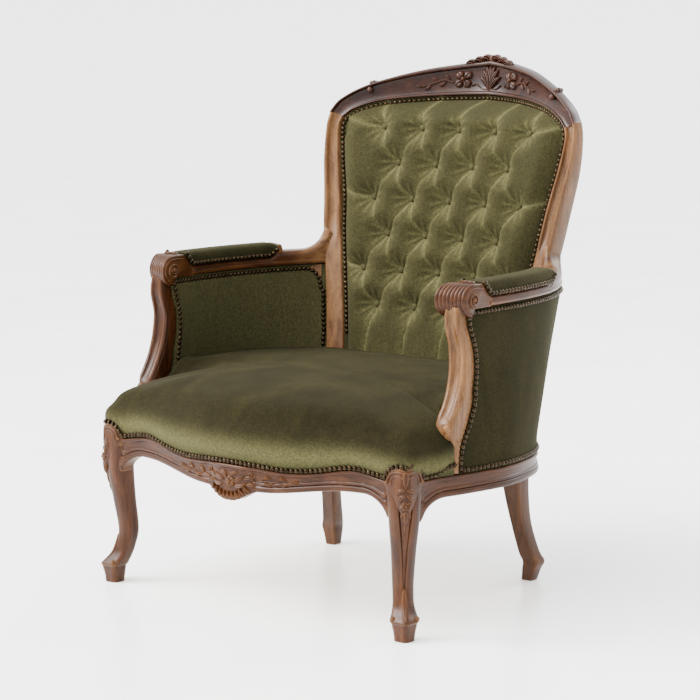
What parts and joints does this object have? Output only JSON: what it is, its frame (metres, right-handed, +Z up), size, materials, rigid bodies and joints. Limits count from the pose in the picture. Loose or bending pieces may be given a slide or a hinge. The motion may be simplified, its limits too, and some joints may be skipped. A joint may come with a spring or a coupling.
{
  "type": "upholstered armchair",
  "caption": "Carved walnut armchair with cabriole legs, closed padded arms, a sprung seat and a deep-buttoned velvet back, for sitting on.",
  "frame": {"origin": "on the floor, at the middle of the chair's box in plan", "axes": "+Z up, -Y the way the chair faces, +X towards the sitter's left arm"},
  "size_m": [0.7862, 0.815, 0.966],
  "materials": {
    "walnut": "waxed dark walnut",
    "golden_walnut": "waxed, faded to a golden brown",
    "beech": "bare, planed",
    "olive_velvet": "short-pile velvet over stuffing",
    "hessian": "coarse woven",
    "calico": "plain woven",
    "jute_webbing": "woven strap",
    "spring_steel": "dark drawn wire"
  },
  "bodies": {
    "root": {"arm_pad_left": "olive_velvet", "arm_pad_right": "olive_velvet", "arm_post_left": "golden_walnut", "arm_post_right": "golden_walnut", "arm_stuffing_rail_left": "beech", "arm_stuffing_rail_right": "beech", "armrest_left": "walnut", "armrest_right": "walnut", "back_cushion": "olive_velvet", "back_hessian": "hessian", "back_webbing_1": "jute_webbing", "back_webbing_2": "jute_webbing", "back_webbing_3": "jute_webbing", "back_webbing_4": "jute_webbing", "crest_rail": "walnut", "dust_cover": "calico", "front_corner_block_left": "beech", "front_corner_block_right": "beech", "front_leg_left": "walnut", "front_leg_right": "walnut", "front_seat_rail": "walnut", "inside_arm_pad_left": "olive_velvet", "inside_arm_pad_right": "olive_velvet", "lower_back_rail": "beech", "outside_arm_panel_left": "olive_velvet", "outside_arm_panel_right": "olive_velvet", "outside_back_panel": "olive_velvet", "rear_corner_block_left": "beech", "rear_corner_block_right": "beech", "rear_leg_stile_left": "golden_walnut", "rear_leg_stile_right": "golden_walnut", "rear_seat_rail": "beech", "seat_cushion": "olive_velvet", "seat_hessian": "hessian", "seat_spring_1": "spring_steel", "seat_spring_2": "spring_steel", "seat_spring_3": "spring_steel", "seat_spring_4": "spring_steel", "seat_spring_5": "spring_steel", "seat_spring_6": "spring_steel", "seat_spring_7": "spring_steel", "seat_spring_8": "spring_steel", "seat_spring_9": "spring_steel", "seat_webbing_cross_1": "jute_webbing", "seat_webbing_cross_2": "jute_webbing", "seat_webbing_cross_3": "jute_webbing", "seat_webbing_long_1": "jute_webbing", "seat_webbing_long_2": "jute_webbing", "seat_webbing_long_3": "jute_webbing", "side_seat_rail_left": "walnut", "side_seat_rail_right": "walnut"}
  },
  "joints": []
}
